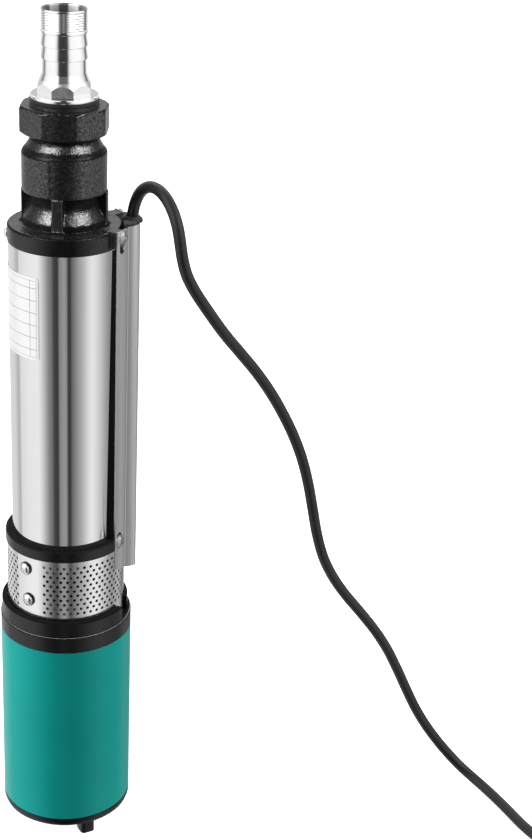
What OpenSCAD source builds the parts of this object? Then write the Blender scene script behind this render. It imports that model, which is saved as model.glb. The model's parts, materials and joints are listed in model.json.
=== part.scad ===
// Borehole submersible pump standing on its three feet.
// Millimetres, +Z up, the pump axis is Z and the floor is z = 0.
// Angles named "t" are seen from above: t = 0 is the front (-Y), t = 90 is the cable side (+X).

/* [Motor] */
// outside radius of the motor housing
motor_r = 48; // [40:0.5:60]
// wall of the motor housing tube
motor_wall = 1.5; // [1:0.1:4]
// underside of the motor housing
motor_z0 = 18.4; // [15:0.2:25]
// top of the motor housing
motor_z1 = 165.2; // [150:0.2:190]
// number of stator slots
slots = 18; // [12:6:24]
// outside radius of the rotor core
rotor_r = 24.6; // [20:0.1:30]
// gap between the rotor and the stator bore
air_gap = 0.4; // [0.3:0.1:1]

/* [Feet] */
// number of cast feet
feet = 3; // [3:1:4]
// width of one foot
foot_w = 10.8; // [8:0.2:16]
// height of the feet below the bottom cap
foot_h = 11; // [6:0.5:20]
// direction of the first foot, degrees
foot_t = 22.5; // [0:0.5:60]

/* [Suction] */
// underside of the suction bracket
brk_z = 177.2; // [170:0.2:190]
// outside radius of the bracket's lower ring
low_r = 47; // [44:0.2:48]
// outside radius of the bracket's upper ring
up_r = 43.5; // [41:0.1:46]
// outside radius of the strainer screen
screen_r = 42.6; // [40:0.1:44]
// strainer sheet thickness
screen_t = 0.8; // [0.5:0.1:1.5]
// strainer hole diameter
hole_d = 2.25; // [1.5:0.1:3]
// number of staggered hole columns around the full circle
hole_cols = 110; // [60:2:120]
// height between holes in one column
hole_pitch = 7.4; // [5:0.1:9]

/* [Pump] */
// outside radius of the pump casing
casing_r = 38.5; // [36:0.1:42]
// wall of the pump casing
casing_wall = 1; // [0.8:0.1:2]
// underside of the discharge head's cap
cap_z = 463.5; // [440:0.5:480]
// underside of the first stage
stage_z = 250; // [248:0.5:255]
// height of one stage
stage_h = 32; // [28:0.5:36]
// outside radius of an impeller
impeller_r = 29; // [25:0.5:31]
// width across the flats of the pump shaft
shaft_af = 11; // [9:0.5:12]

/* [Discharge] */
// outside radius of the cap
cap_r = 39; // [38:0.1:42]
// outside radius of the collar
collar_r = 28.4; // [26:0.1:32]
// corner radius of the octagon
oct_r = 30.7; // [28:0.1:34]
// crest radius of the hose tail
barb_r = 15.5; // [12:0.1:20]
// bore radius of the hose tail
bore_r = 13.6; // [9:0.1:14]
// top of the hose tail
top_z = 619.5; // [600:0.5:640]

/* [Cable guard] */
// underside of the guard
guard_z0 = 212; // [205:0.5:225]
// top of the guard
guard_z1 = 477; // [470:0.5:480]
// distance of the guard's crest from the pump axis
guard_crest = 51; // [50:0.1:55]
// sheet thickness of the guard
guard_t = 1; // [0.6:0.1:1.5]

/* [Cable] */
// cable diameter
cable_d = 8; // [7:0.1:9]
// mean radius of the stored coil's turns
coil_r = 71; // [60:1:80]
// width of the stored coil's bundle
coil_w = 40; // [30:1:50]
// height of the stored coil
coil_h = 32; // [24:1:40]

/* [Hidden] */
fr = 96;
fs = 32;
motor_ri = motor_r - motor_wall;
bore_stator = rotor_r + air_gap;
hex_r = shaft_af / 2 / cos(30);
cab_x = 45;            // cable axis inside the guard
gland_x = 34;          // cable gland on the motor
col_t = [-42, 48, 138, 228];      // bracket columns
bolt_t = [-67, 23, 113, 203];     // bracket bolts
guard_t1 = 58.7;       // front guard screws, degrees
scr = [[-38.8, 202.4], [-42, 227]];    // strainer screws: direction and height
ring_z = 237;          // underside of the bracket's upper ring
wall_z = 189;          // top of the bracket's lower wall
guard_scr_z = [243.2, 472.6];
coil_x = 465;
coil_y = -36;

// free cable, from the grommet over the arch to the floor and to the coil
route = [
  [45, 0, 477], [46.5, -3.1, 488.3], [48.9, -8.3, 497.4], [52.4, -15.7, 504.3], [56.6, -24.8, 508.3], [61.2, -34.5, 508.9],
  [65.6, -43.9, 506.2], [69.4, -52, 500.4], [72.3, -58.2, 492.1], [74.1, -61.8, 482.1], [75.8, -63.2, 471.4], [78.7, -63.5, 461],
  [83.4, -62.8, 451.1], [94.5, -58.2, 432.8], [105.8, -51.4, 415.1], [117.9, -44.1, 398.3], [130.1, -37.3, 381.3], [141.4, -31.3, 363.5],
  [151.6, -26.2, 344.7], [160.8, -22, 325.1], [168.4, -18.5, 304.8], [174.2, -15.7, 283.8], [178.8, -13.3, 262.4], [183.4, -10.7, 241],
  [189.6, -7.7, 220.2], [198.7, -3.7, 200.6], [210.2, 0.5, 182.3], [223.1, 4.1, 164.9], [235.8, 7.1, 147.2], [247.1, 9.9, 128.6],
  [256.8, 12.5, 109], [265.9, 14.2, 89.1], [275.4, 15.9, 69.3], [286.5, 16.9, 50.4], [299.5, 15.9, 32.7], [307.3, 14, 23.9],
  [315.5, 10.4, 16.1], [323.9, 4.3, 10.4], [331.4, -4.1, 6.9], [337.6, -14.1, 5.1], [342.7, -24.9, 4.3], [347.1, -36.1, 4.1],
  [353.5, -52.9, 4], [361.7, -68.8, 4], [372.9, -82.8, 4], [386.9, -94, 4], [403, -102, 4]
];
// lead from the gland through the suction chamber and up inside the guard
lead = [
  [34, 0, 139.2], [34, 0, 160], [34, 0, 180], [34, 0, 197], [34, 0, 206], [35.2, 0, 213],
  [38.5, 0, 220], [42, 0, 226], [44.3, 0, 233], [45, 0, 241], [45, 0, 260], [45, 0, 300], [45, 0, 340],
  [45, 0, 380], [45, 0, 420], [45, 0, 450], [45, 0, 477]
];
// tail from the top of the coil to the plug that lies on it
tail = [
  [465, 51, 36], [448, 49, 38], [432, 43, 41], [418, 34, 44], [408, 22, 46], [404, 8, 46]
];

// ---------- helpers ----------
module turn(t) rotate([0, 0, t - 90]) children();
module ring(ro, ri, z0, z1) rotate_extrude($fn = fr) translate([ri, z0]) square([ro - ri, z1 - z0]);
module rod(r, z0, z1, n = fr) translate([0, 0, z0]) cylinder(r = r, h = z1 - z0, $fn = n);
module turned(p) rotate_extrude($fn = fr) polygon(p);
// a screw whose axis points outward along +X: head face on x = 0, shank inward
module pan_screw(head_r, head_h, shank_r, shank_l) {
  difference() {
    union() {
      rotate([0, 90, 0]) cylinder(r = head_r, h = head_h * 0.55, $fn = fs);
      translate([head_h * 0.55, 0, 0]) rotate([0, 90, 0]) cylinder(r1 = head_r, r2 = head_r * 0.62, h = head_h * 0.45, $fn = fs);
      translate([-shank_l, 0, 0]) rotate([0, 90, 0]) cylinder(r = shank_r, h = shank_l + head_h * 0.3, $fn = fs);
    }
    translate([head_h * 0.5, -head_r * 0.5, -head_r * 0.09]) cube([head_h, head_r, head_r * 0.18]);
    translate([head_h * 0.5, -head_r * 0.09, -head_r * 0.5]) cube([head_h, head_r * 0.18, head_r]);
  }
}

// ---------- swept tubes ----------
function unit(v) = v / norm(v);
function crom(a, b, c, d, u) = 0.5 * (2 * b + (c - a) * u + (2 * a - 5 * b + 4 * c - d) * u * u + (3 * b - a - 3 * c + d) * u * u * u);
function fine(p, k) = [
  for (i = [0 : len(p) - 2], j = [0 : k - 1])
    crom(p[max(i - 1, 0)], p[i], p[i + 1], p[min(i + 2, len(p) - 1)], j / k),
  p[len(p) - 1]
];
function tangent(p, i) = unit(p[min(i + 1, len(p) - 1)] - p[max(i - 1, 0)]);
function carry(p, i, n0) = i == 0
  ? unit(n0 - (n0 * tangent(p, 0)) * tangent(p, 0))
  : let(n = carry(p, i - 1, n0), t = tangent(p, i)) unit(n - (n * t) * t);
module tube(p, r, n, n0) {
  k = len(p);
  rings = [
    for (i = [0 : k - 1])
      let(t = tangent(p, i), a = carry(p, i, n0), b = cross(t, a))
        for (j = [0 : n - 1]) p[i] + r * (cos(360 * j / n) * a + sin(360 * j / n) * b)
  ];
  sides = [
    for (i = [0 : k - 2], j = [0 : n - 1])
      let(a = i * n + j, b = i * n + (j + 1) % n, c = b + n, d = a + n) each [[a, c, b], [a, d, c]]
  ];
  polyhedron(points = rings, faces = concat(sides, [[for (j = [0 : n - 1]) j], [for (j = [n - 1 : -1 : 0]) (k - 1) * n + j]]), convexity = 8);
}
function helix(r, z0, z1, turns, k) = [
  for (i = [0 : k]) let(u = i / k) [r * cos(360 * turns * u), r * sin(360 * turns * u), z0 + (z1 - z0) * u]
];

// ---------- motor ----------
module motor_housing() color([0, 0.46, 0.41])
  turned([[motor_ri, motor_z0], [motor_r - 0.7, motor_z0], [motor_r, motor_z0 + 0.7], [motor_r, motor_z1 - 0.7], [motor_r - 0.7, motor_z1], [motor_ri, motor_z1]]);

module foot() translate([0, 0, 0]) linear_extrude(foot_h + 1) union() {
  translate([33, -foot_w / 2]) square([7, foot_w]);
  translate([33, -foot_w / 2 + 3]) square([10, foot_w - 6]);
  for (s = [-1, 1]) translate([40, s * (foot_w / 2 - 3)]) circle(r = 3, $fn = fs);
}
module motor_bottom_cap() color([0.07, 0.07, 0.07]) difference() {
  union() {
    turned([[4, 22], [25.5, 22], [25.5, 15.5], [30, 15.5], [30, foot_h], [45, foot_h], [47.2, foot_h + 1.8], [motor_r, foot_h + 4],
      [motor_r, motor_z0], [motor_ri, motor_z0], [motor_ri, 29], [44.6, 29], [44.6, 31.4], [motor_ri, 31.4],
      [motor_ri, 38], [43, 38], [43, 26], [22, 26], [22, 38], [17.5, 38], [17.5, 27], [13.5, 27], [13.5, 25.2], [4, 25.2]]);
    for (i = [0 : feet - 1]) turn(foot_t + i * 360 / feet) foot();
  }
  for (i = [0 : 3]) turn(45 + i * 90) translate([27.7, 0, 15]) cylinder(r = 1.4, h = 6.5, $fn = fs);
}
module bottom_seal() color([0.1, 0.1, 0.1]) ring(motor_ri, 44.6, 29, 31.4);
module pressure_diaphragm() color([0.12, 0.12, 0.12]) difference() {
  turned([[0, 18.4], [13, 18.4], [15, 16.2], [17, 16.2], [19, 18.4], [23, 18.4], [24.6, 15.5], [30, 15.5], [30, 13.5], [23.4, 13.5], [22, 16.8], [19.8, 16.8], [17.8, 14.6], [14.2, 14.6], [12.2, 16.8], [0, 16.8]]);
  for (i = [0 : 3]) turn(45 + i * 90) translate([27.7, 0, 13]) cylinder(r = 1.4, h = 3, $fn = fs);
}
module diaphragm_cover() color([0.1, 0.1, 0.1]) difference() {
  rod(30, foot_h, 13.5);
  for (i = [0 : 3]) turn(45 + i * 90) translate([27.7, 0, foot_h - 1]) cylinder(r = 1.4, h = 5, $fn = fs);
  for (i = [0 : 5]) turn(i * 60) translate([12, 0, foot_h - 1]) cylinder(r = 2, h = 5, $fn = fs);
}
module cover_screws() color([0.7, 0.7, 0.72])
  for (i = [0 : 3]) turn(45 + i * 90) translate([27.7, 0, foot_h]) rotate([0, 90, 0]) pan_screw(2.6, 1.8, 1.4, 9.5);

module stator_core() color([0.35, 0.36, 0.38]) difference() {
  ring(motor_ri, bore_stator, 55, 125);
  for (i = [0 : slots - 1]) rotate([0, 0, i * 360 / slots]) translate([bore_stator - 1, -2, 54]) cube([14, 4, 72]);
}
module stator_windings() color([0.62, 0.3, 0.14]) union() {
  ring(42, 27.5, 41, 55);
  ring(42, 27.5, 125, 139);
  for (i = [0 : slots - 1]) rotate([0, 0, i * 360 / slots]) translate([27.6, -1.85, 54]) cube([10.1, 3.7, 72]);
}
// ball bearing: bore radius, outside radius, pitch radius of the balls, ball radius, bottom, width
module race_inner(ri, pr, br, z0, w) difference() {
  ring(pr - 1.9, ri, z0, z0 + w);
  rotate_extrude($fn = fr) translate([pr, z0 + w / 2]) circle(r = br + 0.3, $fn = 48);
}
module race_outer(ro, pr, br, z0, w) difference() {
  ring(ro, pr + 1.9, z0, z0 + w);
  rotate_extrude($fn = fr) translate([pr, z0 + w / 2]) circle(r = br + 0.3, $fn = 48);
}
module balls(pr, br, z0, w, n) union() {
  for (i = [0 : n - 1]) rotate([0, 0, i * 360 / n]) translate([pr, 0, z0 + w / 2]) sphere(r = br, $fn = 48);
  ring(pr + 0.9, pr - 0.9, z0 + w / 2 - 0.8, z0 + w / 2 + 0.8);
}
module lower_bearing_outer() color([0.6, 0.6, 0.62]) race_outer(17.5, 12.6, 2.8, 27, 11);
module upper_bearing_outer() color([0.6, 0.6, 0.62]) race_outer(20, 14.3, 3.2, 147, 12);
module lower_bearing_inner() color([0.6, 0.6, 0.62]) race_inner(7.5, 12.6, 2.8, 27, 11);
module upper_bearing_inner() color([0.6, 0.6, 0.62]) race_inner(8.5, 14.3, 3.2, 147, 12);
module lower_bearing_balls() color([0.75, 0.75, 0.77]) balls(12.6, 2.8, 27, 11, 8);
module upper_bearing_balls() color([0.75, 0.75, 0.77]) balls(14.3, 3.2, 147, 12, 8);

module motor_top_cap() color([0.07, 0.07, 0.07]) difference() {
  turned([[20, 147], [20, 159], [16, 159], [16, 164], [9.4, 164], [9.4, 172], [14, 172], [14, brk_z], [47.3, brk_z], [motor_r, brk_z - 0.7],
    [motor_r, motor_z1], [motor_ri, motor_z1], [motor_ri, 155.4], [44.6, 155.4], [44.6, 153], [motor_ri, 153], [motor_ri, 148], [43, 148],
    [43, 162], [25, 162], [25, 147]]);
  translate([gland_x, 0, 160]) cylinder(r = 6, h = 20, $fn = fs);
  for (t = bolt_t) turn(t) translate([36, 0, 167]) cylinder(r = 3, h = 12, $fn = fs);
}
module top_seal() color([0.1, 0.1, 0.1]) ring(motor_ri, 44.6, 153, 155.4);
module seal_seat() color([0.9, 0.88, 0.82]) ring(14, 9.4, 172, brk_z);

module motor_shaft() color([0.66, 0.67, 0.7]) difference() {
  turned([[0, 26.4], [7, 26.4], [7.5, 26.9], [7.5, 38], [9, 38], [9, 147], [8.5, 147], [8.5, 160], [8, 160], [8, 196], [7, 196], [7, 211], [6.2, 212], [0, 212]]);
  translate([5.2, -10, 196.5]) cube([5, 20, 20]);
}
module rotor_core() color([0.4, 0.41, 0.43]) ring(rotor_r, 9, 55, 125);
module rotor_end_rings() color([0.75, 0.76, 0.78]) for (z = [[47, 55], [125, 133]]) union() {
  ring(23.4, 13, z[0] + (z[0] < 100 ? 2 : 0), z[1] - (z[0] < 100 ? 0 : 2));
  for (i = [0 : 8]) rotate([0, 0, i * 40]) translate([15, -0.9, z[0]]) cube([7.4, 1.8, z[1] - z[0]]);
}
module seal_face() color([0.2, 0.2, 0.22]) ring(12.6, 8, brk_z + 0.3, 181.5);
module seal_spring() color([0.7, 0.7, 0.72]) union() {
  tube(helix(10.3, 182.4, 189, 3, 48), 0.8, 8, [0, 0, 1]);
  ring(11.4, 8, 181.5, 182.2);
}
module sand_slinger() color([0.1, 0.1, 0.1]) turned([[8, 190], [15, 190], [18, 188], [18.6, 188.8], [15.6, 192.4], [11, 195.5], [8, 195.5]]);
module shaft_coupling() color([0.6, 0.61, 0.64]) difference() {
  turned([[0, 196], [12, 196], [12.6, 196.6], [12.6, 231.4], [12, 232], [0, 232]]);
  difference() {
    rod(7, 195, 212.5);
    translate([5.2, -10, 196.5]) cube([5, 20, 20]);
  }
  translate([0, 0, 212.5]) cylinder(r = hex_r, h = 20, $fn = 6);
  for (z = [204, 222]) translate([0, 0, z]) rotate([0, -90, 0]) cylinder(r = 2, h = 14, $fn = fs);
}

// ---------- suction ----------
module suction_bracket() color([0.08, 0.08, 0.08]) difference() {
  union() {
    turned([[30, brk_z], [low_r, brk_z], [low_r, wall_z - 0.8], [low_r - 0.8, wall_z], [43, wall_z], [43, 178.6], [41.5, 178.6], [41.5, 183], [30, 183]]);
    for (t = col_t) turn(t) translate([33, -4.8, 182]) cube([7.5, 9.6, 56]);
    turned([[24, ring_z], [up_r, ring_z], [up_r, 244.2], [42.8, 245.4], [41.4, 246.4], [casing_r, 246.4], [casing_r, 240], [37.4, 240], [37.4, stage_z], [33, stage_z], [33, 240], [24, 240]]);
  }
  // relief in the lower wall beside the cable side
  rotate([0, 0, 60 - 90]) rotate_extrude(angle = 20, $fn = fr) translate([42.4, 178.6]) square([6, 13]);
  rotate([0, 0, 79 - 90]) rotate_extrude(angle = 44, $fn = fr) translate([45.3, 178.6]) square([3, 13]);
  translate([gland_x, 0, 176]) cylinder(r = 8.2, h = 8, $fn = fs);
  for (t = bolt_t) turn(t) translate([36, 0, 176]) cylinder(r = 3, h = 8, $fn = fs);
  for (s = scr) turn(s[0]) translate([36, 0, s[1]]) rotate([0, 90, 0]) cylinder(r = 1.6, h = 8, $fn = fs);
  for (t = [guard_t1, 180 - guard_t1]) turn(t) translate([39, 0, guard_scr_z[0]]) rotate([0, 90, 0]) cylinder(r = 1.5, h = 8, $fn = fs);
  translate([cab_x, 0, 236]) cylinder(r = 5, h = 12, $fn = fs);
}
module bracket_bolts() color([0.72, 0.73, 0.75]) for (t = bolt_t) turn(t) translate([36, 0, 0]) union() {
  translate([0, 0, 183]) cylinder(r = 5, h = 4.2, $fn = 6);
  translate([0, 0, 168]) cylinder(r = 3, h = 15, $fn = fs);
}
module strainer_screen() color([0.75, 0.75, 0.77]) difference() {
  ring(screen_r, screen_r - screen_t, 178.6, ring_z);
  for (i = [0 : 100], k = [0 : 5]) {
    t = -21.5 + i * 360 / hole_cols;
    z = 194.7 + k * hole_pitch + (i % 2) * hole_pitch / 2;
    if (z < 234 && !(z > 211 && t > 79 && t < 101))
      turn(t) translate([screen_r - screen_t - 0.6, 0, z]) rotate([0, 90, 0]) cylinder(d = hole_d, h = screen_t + 1.2, $fn = 24);
  }
  turn(90) translate([40, -6, 215]) cube([4, 12, 23]);
  for (s = scr) turn(s[0]) translate([40, 0, s[1]]) rotate([0, 90, 0]) cylinder(r = 1.6, h = 4, $fn = fs);
}
module strainer_screws() color([0.8, 0.8, 0.82]) for (s = scr) turn(s[0]) translate([screen_r, 0, s[1]]) pan_screw(4.4, 3.2, 1.6, 6.5);

// ---------- pump ----------
module pump_casing() color([0.8, 0.8, 0.82]) ring(casing_r, casing_r - casing_wall, 240, cap_z);
module diffuser(i) {
  z = stage_z + (i - 1) * stage_h;
  color([0.9, 0.88, 0.8]) difference() {
    union() {
      ring(37.4, 35.2, z, z + stage_h);
      ring(35.6, 14.7, z, z + 2.5);
      ring(30.5, 11, z + 17, z + 19.5);
      ring(13, 11, z + 18, z + 30);
      intersection() {
        rod(36, z + 19, z + stage_h);
        for (k = [0 : 5]) rotate([0, 0, k * 60 + i * 7]) translate([12, 0, z + 19]) rotate([0, 0, 24]) translate([0, -1, 0]) cube([27, 2, stage_h - 19]);
      }
    }
  }
}
module diffuser_1() diffuser(1);
module diffuser_2() diffuser(2);
module diffuser_3() diffuser(3);
module diffuser_4() diffuser(4);
module diffuser_5() diffuser(5);
module diffuser_6() diffuser(6);
module bearing_bushes() color([0.12, 0.12, 0.12]) for (i = [0 : 5]) ring(11, 9.3, stage_z + i * stage_h + 17, stage_z + i * stage_h + 30);
module impeller(z) difference() {
  union() {
    ring(impeller_r, 12.2, z + 4, z + 6);
    ring(14, 12.2, z + 0.5, z + 6);
    ring(impeller_r, 8, z + 12, z + 14);
    rod(9, z + 2, z + 16);
    intersection() {
      ring(impeller_r, 8.5, z + 5, z + 13);
      for (k = [0 : 5]) rotate([0, 0, k * 60]) difference() {
        translate([0, 19, z + 5.5]) cylinder(r = 20.6, h = 7, $fn = 64);
        translate([0, 19, z + 4]) cylinder(r = 18.8, h = 10, $fn = 64);
        translate([-60, -30, z + 3]) cube([60, 80, 12]);
        translate([-30, 19, z + 3]) cube([80, 50, 12]);
      }
    }
  }
  translate([0, 0, z]) cylinder(r = hex_r, h = 20, $fn = 6);
}
module impellers() color([0.88, 0.86, 0.78]) for (i = [0 : 5]) impeller(stage_z + i * stage_h);
module impeller_spacers() color([0.7, 0.7, 0.73]) difference() {
  union() {
    rod(9, 234, stage_z + 2);
    for (i = [0 : 5]) rod(9, stage_z + i * stage_h + 16, i < 5 ? stage_z + (i + 1) * stage_h + 2 : 444);
  }
  translate([0, 0, 230]) cylinder(r = hex_r, h = 220, $fn = 6);
}
module pump_shaft() color([0.68, 0.69, 0.72]) translate([0, 0, 212.5]) cylinder(r = hex_r, h = 236.5, $fn = 6);
module impeller_nut() color([0.72, 0.73, 0.75]) difference() {
  translate([0, 0, 444]) cylinder(r = 10.4, h = 5.5, $fn = 6);
  translate([0, 0, 443]) cylinder(r = hex_r, h = 8, $fn = 6);
}

// ---------- discharge ----------
module discharge_head() color([0.07, 0.07, 0.075]) difference() {
  union() {
    turned([[33, 442], [37.4, 442], [37.4, cap_z], [cap_r, cap_z], [cap_r, 474.8], [38, 475.9], [28.3, 476], [28.2, 479], [27.9, 480.6], [27.2, 482.2],
      [26.3, 483.8], [25.3, 485.5], [24.4, 487.2], [23.6, 489], [22.9, 491], [22.4, 493.4], [22.1, 496], [22, 497.4], [27.2, 498], [collar_r, 499.4],
      [collar_r, 525.4], [28.1, 526.4], [25.9, 529], [25.2, 530.2], [24.4, 531.5], [23.7, 532.9], [23.1, 534.4], [22.7, 535.8], [22.5, 537.4],
      [24.5, 539.4], [26, 540], [12, 540], [12, 442.5]]);
    // octagon with broken edges
    intersection() {
      rotate([0, 0, 15 - 90]) translate([0, 0, 538]) cylinder(r = oct_r, h = 18.8, $fn = 8);
      turned([[0, 538], [27.6, 538], [31.4, 540.4], [31.4, 554.4], [28.8, 556.8], [0, 556.8]]);
    }
    // ribs of the waist
    for (i = [0 : 3]) turn(-10.5 + i * 90) {
      translate([20, -3.6, 475.5]) cube([9.2, 7.2, 23.7]);
      translate([24, -4.3, 475.5]) cube([6.2, 8.6, 1.5]);
    }
    // lugs that carry the top of the cable guard
    for (t = [guard_t1, 180 - guard_t1]) turn(t) translate([34, -5, 465]) cube([9.4, 10, 11.4]);
    // one mould half of the collar stands slightly proud
    rotate([0, 0, -201 - 90]) rotate_extrude(angle = 180, $fn = fr) translate([26, 499.6]) square([2.8, 25.6]);
  }
  // waterway, valve seat, valve chamber and outlet thread
  turned([[0, 441], [33, 441], [33, 456], [24, 470], [17, 482], [13.5, 490], [13.5, 500], [19.6, 500], [19.6, 541], [20.3, 541], [20.3, 558], [0, 558]]);
  for (t = [guard_t1, 180 - guard_t1]) turn(t) translate([36.5, 0, guard_scr_z[1]]) rotate([0, 90, 0]) cylinder(r = 1.5, h = 10, $fn = fs);
  for (t = [-90, 180]) turn(t) translate([34, 0, 468]) rotate([0, 90, 0]) cylinder(r = 2, h = 8, $fn = fs);
}
module cap_screws() color([0.78, 0.78, 0.8]) for (t = [-90, 180]) turn(t) translate([cap_r, 0, 468]) pan_screw(3.4, 2.2, 2, 5);
module valve_guide() color([0.85, 0.83, 0.76]) difference() {
  union() {
    ring(20.3, 16.2, 541, 544);
    for (i = [0 : 2]) rotate([0, 0, 30 + i * 120]) translate([4, -1.5, 527]) cube([12.8, 3, 17]);
    turned([[2, 524], [8.8, 524], [8.8, 527], [6, 527.6], [6, 536], [2, 536]]);
  }
  rod(3.3, 520, 550, fs);
}
module valve_poppet() color([0.82, 0.8, 0.74]) turned([[0, 495], [8, 495], [11.5, 500.05], [16.4, 500.05], [16.4, 502.4], [14.8, 503], [14.8, 505.4], [13.6, 506.4], [9.4, 506.4], [9.4, 505.2], [4.4, 505.2], [3, 507], [3, 533.6], [2.2, 534.6], [0, 534.6]]);
module valve_spring() color([0.75, 0.75, 0.77]) tube(helix(7, 506.2, 523, 4, 64), 0.8, 8, [0, 0, 1]);
module barb_gasket() color([0.06, 0.06, 0.06]) turned([[20.3, 556.8], [23, 556.8], [23, 558.8], [22.4, 559.1], [22.9, 559.4], [22.9, 561.5], [20.3, 561.5]]);
module hose_barb() color([0.8, 0.8, 0.82]) difference() {
  union() {
    rod(20.3, 544, 561.5);
    turned([[0, 561.5], [22.5, 561.5], [22.6, 562.2], [22.6, 563.4], [22, 564], [0, 564]]);
    intersection() {
      turned([[0, 563.5], [20.5, 563.5], [19, 568], [17.6, 571], [16.6, 573], [15.4, 576], [14.7, 578], [0, 578]]);
      rotate([0, 0, -4 - 90 + 22.5]) translate([0, 0, 563]) cylinder(r = 18.6, h = 16, $fn = 8);
    }
    turned([[0, 577], [14.7, 577], [14.7, 579], [14.5, 587], [barb_r, 587.6], [barb_r, 588.6], [14.6, 595.4], [barb_r, 596], [barb_r, 597],
      [14.6, 603.8], [barb_r, 604.4], [barb_r, 605.4], [14.9, 606.2], [15.3, 607.00], [14.9, 607.80], [15.3, 608.60], [14.9, 609.40], [15.3, 610.20], [14.9, 611.00], [15.3, 611.80], [14.9, 612.60], [15.3, 613.40], [14.9, 614.20], [15.3, 615.00], [14.9, 615.80], [15.3, 616.60], [14.9, 617.40],
      [15.3, 618.2], [15.1, 619], [14.8, top_z], [0, top_z]]);
  }
  rod(bore_r, 543, top_z - 1);
  translate([0, 0, top_z - 1.2]) cylinder(r1 = bore_r, r2 = bore_r + 1, h = 1.3, $fn = fr);
}

// ---------- cable guard and cable ----------
module guard_profile() difference() {
  union() {
    // side flanges that follow the pump body
    difference() {
      circle(r = up_r + guard_t, $fn = fr);
      circle(r = up_r, $fn = fr);
      polygon([[0, 0], [-90, -90], [-90, 90]]);
      polygon([[0, 0], [-90, 90], [60, 90 ], [35.6 * 2, 28.2 * 2]]);
      polygon([[0, 0], [-90, -90], [60, -90], [35.6 * 2, -28.2 * 2]]);
    }
    difference() {
      translate([36.5, 0]) circle(r = guard_crest - 36.5, $fn = fr);
      circle(r = up_r, $fn = fr);
      translate([-10, -50]) square([46.5, 100]);
    }
  }
  translate([36.5, 0]) circle(r = guard_crest - 36.5 - guard_t, $fn = fr);
}
// slot with round ends through a flange
module slot(z0, z1) {
  translate([42, -2.9, z0]) cube([5, 5.8, z1 - z0]);
  for (z = [z0, z1]) translate([42, 0, z]) rotate([0, 90, 0]) cylinder(r = 2.9, h = 5, $fn = fs);
}
module cable_guard() color([0.78, 0.78, 0.8]) difference() {
  translate([0, 0, guard_z0]) linear_extrude(guard_z1 - guard_z0) guard_profile();
  for (t = [guard_t1, 180 - guard_t1]) turn(t) {
    // slotted screw holes
    slot(guard_scr_z[0] - 2, guard_scr_z[0] + 4.4);
    slot(guard_scr_z[1] - 8.6, guard_scr_z[1] + 0.8);
  }
  // lower end slopes up from the crest to the flanges
  for (s = [-1, 1]) translate([20, 0, guard_z0]) rotate([s * 20.3, 0, 0]) translate([0, s > 0 ? -1 : -59, -30]) cube([40, 60, 30]);
}
module guard_screws() color([0.85, 0.85, 0.87]) for (t = [guard_t1, 180 - guard_t1], k = [0, 1])
  turn(t) translate([up_r + guard_t, 0, guard_scr_z[k]]) pan_screw(5.2, 2.6, 1.5, k == 0 ? 5 : 7.5);
module cable_grommet() color([0.06, 0.06, 0.06]) difference() {
  union() {
    // lip over the end of the guard
    translate([0, 0, guard_z1]) linear_extrude(1.8) difference() {
      translate([37, 0]) circle(r = 15.4, $fn = fr);
      translate([-10, -50]) square([49.2, 100]);
    }
    // plug inside the channel
    translate([0, 0, guard_z1 - 10]) linear_extrude(10.5) difference() {
      translate([36.5, 0]) circle(r = guard_crest - 36.5 - guard_t, $fn = fr);
      circle(r = 40.2, $fn = fr);
      translate([-10, -50]) square([48.5, 100]);
    }
  }
  translate([cab_x, 0, guard_z1 - 12]) cylinder(d = cable_d, h = 20, $fn = fs);
}
module cable_gland() color([0.72, 0.6, 0.32]) difference() {
  union() {
    translate([gland_x, 0, 162]) cylinder(r = 6, h = brk_z - 162, $fn = fs);
    translate([gland_x, 0, brk_z]) cylinder(r = 7.6, h = 7, $fn = 6);
    translate([gland_x, 0, brk_z + 7]) cylinder(r1 = 6.6, r2 = 5.4, h = 8, $fn = fs);
  }
  translate([gland_x, 0, 150]) cylinder(d = cable_d, h = 60, $fn = fs);
}
module cable_lead() color([0.05, 0.05, 0.05]) tube(fine(lead, 1), cable_d / 2, 10, [0, 1, 0]);
module mains_cable() color([0.05, 0.05, 0.05]) tube(fine(route, 2), cable_d / 2, 10, [1, 0.4, 0]);
module cable_coil() color([0.06, 0.06, 0.06]) translate([coil_x, coil_y, 0]) rotate_extrude($fn = fr) translate([coil_r, 0]) union() {
  translate([-coil_w / 2, 4]) square([coil_w, coil_h - 8]);
  translate([-coil_w / 2 + 4, 0]) square([coil_w - 8, coil_h]);
  for (x = [-1, 1], z = [4, coil_h - 4]) translate([x * (coil_w / 2 - 4), z]) circle(r = 4, $fn = fs);
}
module coil_ties() color([0.12, 0.12, 0.12]) for (a = [0, 125, 240]) translate([coil_x, coil_y, 0]) rotate([0, 0, a]) translate([coil_r, 0, 0]) difference() {
  translate([-coil_w / 2 - 1.2, -4, 0]) cube([coil_w + 2.4, 8, coil_h + 1.2]);
  translate([-coil_w / 2, -5, -1]) cube([coil_w, 10, coil_h + 1]);
}
module cable_tail() color([0.05, 0.05, 0.05]) tube(fine(tail, 2), cable_d / 2, 10, [0, 0, 1]);
module plug_relief() color([0.05, 0.05, 0.05]) translate([404, 8, 46]) rotate([90, 0, 0]) cylinder(r1 = 4.6, r2 = 7.5, h = 24, $fn = fs);
module plug_body() color([0.06, 0.06, 0.06]) translate([404, -16, 46]) rotate([90, 0, 0]) union() {
  cylinder(r1 = 11, r2 = 13.6, h = 14, $fn = fs);
  translate([0, 0, 14]) cylinder(r = 13.6, h = 8, $fn = fs);
}
module plug_pins() color([0.8, 0.78, 0.7]) for (s = [-1, 1]) translate([404 + s * 7, -38, 46]) rotate([90, 0, 0]) cylinder(r = 2.4, h = 19, $fn = fs);
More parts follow.
